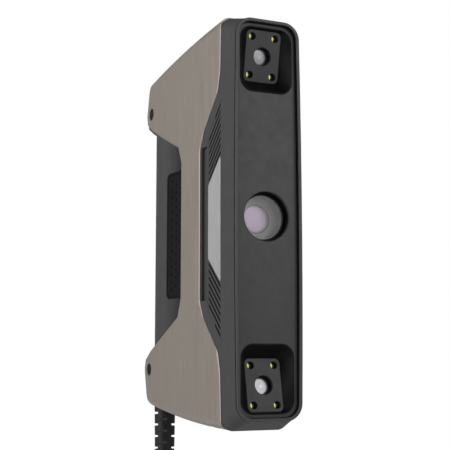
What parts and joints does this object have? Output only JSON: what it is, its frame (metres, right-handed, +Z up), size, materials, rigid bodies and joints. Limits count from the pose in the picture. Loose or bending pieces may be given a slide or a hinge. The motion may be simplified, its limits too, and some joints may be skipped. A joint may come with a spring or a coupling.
{
  "type": "handheld scanner",
  "caption": "Upright handheld scanner with a projector and two cameras in front, champagne side panels, a rear grip with buttons and a tied cable.",
  "frame": {"origin": "middle of the rear grip, where a hand or a bracket holds the scanner", "axes": "+Z up along the body, the lenses look along -Y, +X towards the scanner's left as seen from its front"},
  "size_m": [0.0422, 0.1729, 0.5353],
  "materials": {
    "champagne_panel": "satin champagne paint with a fine upright grain",
    "dark_shell": "fine satin texture",
    "bezel_plastic": "satin",
    "front_panel_plastic": "satin",
    "black_plastic": "matt black",
    "camera_plate_plastic": "matt",
    "badge_metal": "brushed silver",
    "rubber": "soft-touch",
    "boot_rubber": "matt",
    "cable_jacket": "smooth jacket",
    "tie_fabric": "woven hook-and-loop",
    "button_plastic": "satin gloss",
    "light_guide": "frosted",
    "lens_glass": "coated",
    "projector_glass": "clear",
    "projector_coating": "pink coating on glass",
    "barrel_metal": "bead blasted",
    "black_metal": "black anodised",
    "aluminium": "as machined",
    "circuit_board": "solder mask",
    "chip_plastic": "matt",
    "led_yellow": "clear yellow",
    "switch_metal": "bright",
    "screw_steel": "zinc plated",
    "contact_brass": "gold flashed"
  },
  "bodies": {
    "scanner": {"side_panel_left": "champagne_panel", "side_panel_right": "champagne_panel", "front_frame": "dark_shell", "shell_left": "dark_shell", "shell_right": "dark_shell", "front_bezel": "bezel_plastic", "front_panel": "front_panel_plastic", "panel_gasket": "rubber", "grip_pad_left": "rubber", "grip_pad_right": "rubber", "grip_spine": "rubber", "vent_grille_left": "dark_shell", "vent_grille_right": "dark_shell", "badge_plate_left": "badge_metal", "badge_plate_right": "badge_metal", "light_ring": "light_guide", "button_board": "circuit_board", "dome_switches": "switch_metal", "projector_sleeve": "black_plastic", "projector_window": "projector_glass", "projector_barrel": "barrel_metal", "projector_lens": "projector_coating", "projector_engine": "black_metal", "heat_sink": "aluminium", "optical_frame": "aluminium", "frame_screws": "screw_steel", "main_board": "circuit_board", "board_screws": "screw_steel", "board_chips": "chip_plastic", "fan_frame": "black_plastic", "screw_caps": "black_plastic", "shell_screws": "screw_steel", "strain_relief": "boot_rubber", "cable_hank": "cable_jacket", "cable_lead": "cable_jacket", "cable_tail": "cable_jacket", "hank_tie": "tie_fabric", "plug_body": "black_plastic", "plug_collar": "aluminium", "plug_pins": "contact_brass", "inner_lead": "cable_jacket", "camera_plate_upper": "camera_plate_plastic", "camera_barrel_upper": "black_metal", "camera_lens_upper": "lens_glass", "camera_leds_upper": "led_yellow", "led_board_upper": "circuit_board", "sensor_board_upper": "circuit_board", "camera_hood_upper": "black_plastic", "camera_plate_lower": "camera_plate_plastic", "camera_barrel_lower": "black_metal", "camera_lens_lower": "lens_glass", "camera_leds_lower": "led_yellow", "led_board_lower": "circuit_board", "sensor_board_lower": "circuit_board", "camera_hood_lower": "black_plastic"},
    "scan_key": {"scan_button": "button_plastic"},
    "plus_key": {"plus_button": "button_plastic"},
    "minus_key": {"minus_button": "button_plastic"},
    "fan_wheel": {"fan_rotor": "black_plastic"}
  },
  "joints": [
    {"name": "scan_press", "type": "slide", "parent": "scanner", "child": "scan_key", "axis": [0, -1, 0], "range_m": [0, 0.0008], "stiffness_N_per_m": 900},
    {"name": "plus_press", "type": "slide", "parent": "scanner", "child": "plus_key", "axis": [0, -1, 0], "range_m": [0, 0.0008], "stiffness_N_per_m": 900},
    {"name": "minus_press", "type": "slide", "parent": "scanner", "child": "minus_key", "axis": [0, -1, 0], "range_m": [0, 0.0008], "stiffness_N_per_m": 900},
    {"name": "fan_spin", "type": "hinge", "parent": "scanner", "child": "fan_wheel", "pos_m": [0.004, -0.084, 0.048], "axis": [1, 0, 0], "continuous": true}
  ]
}
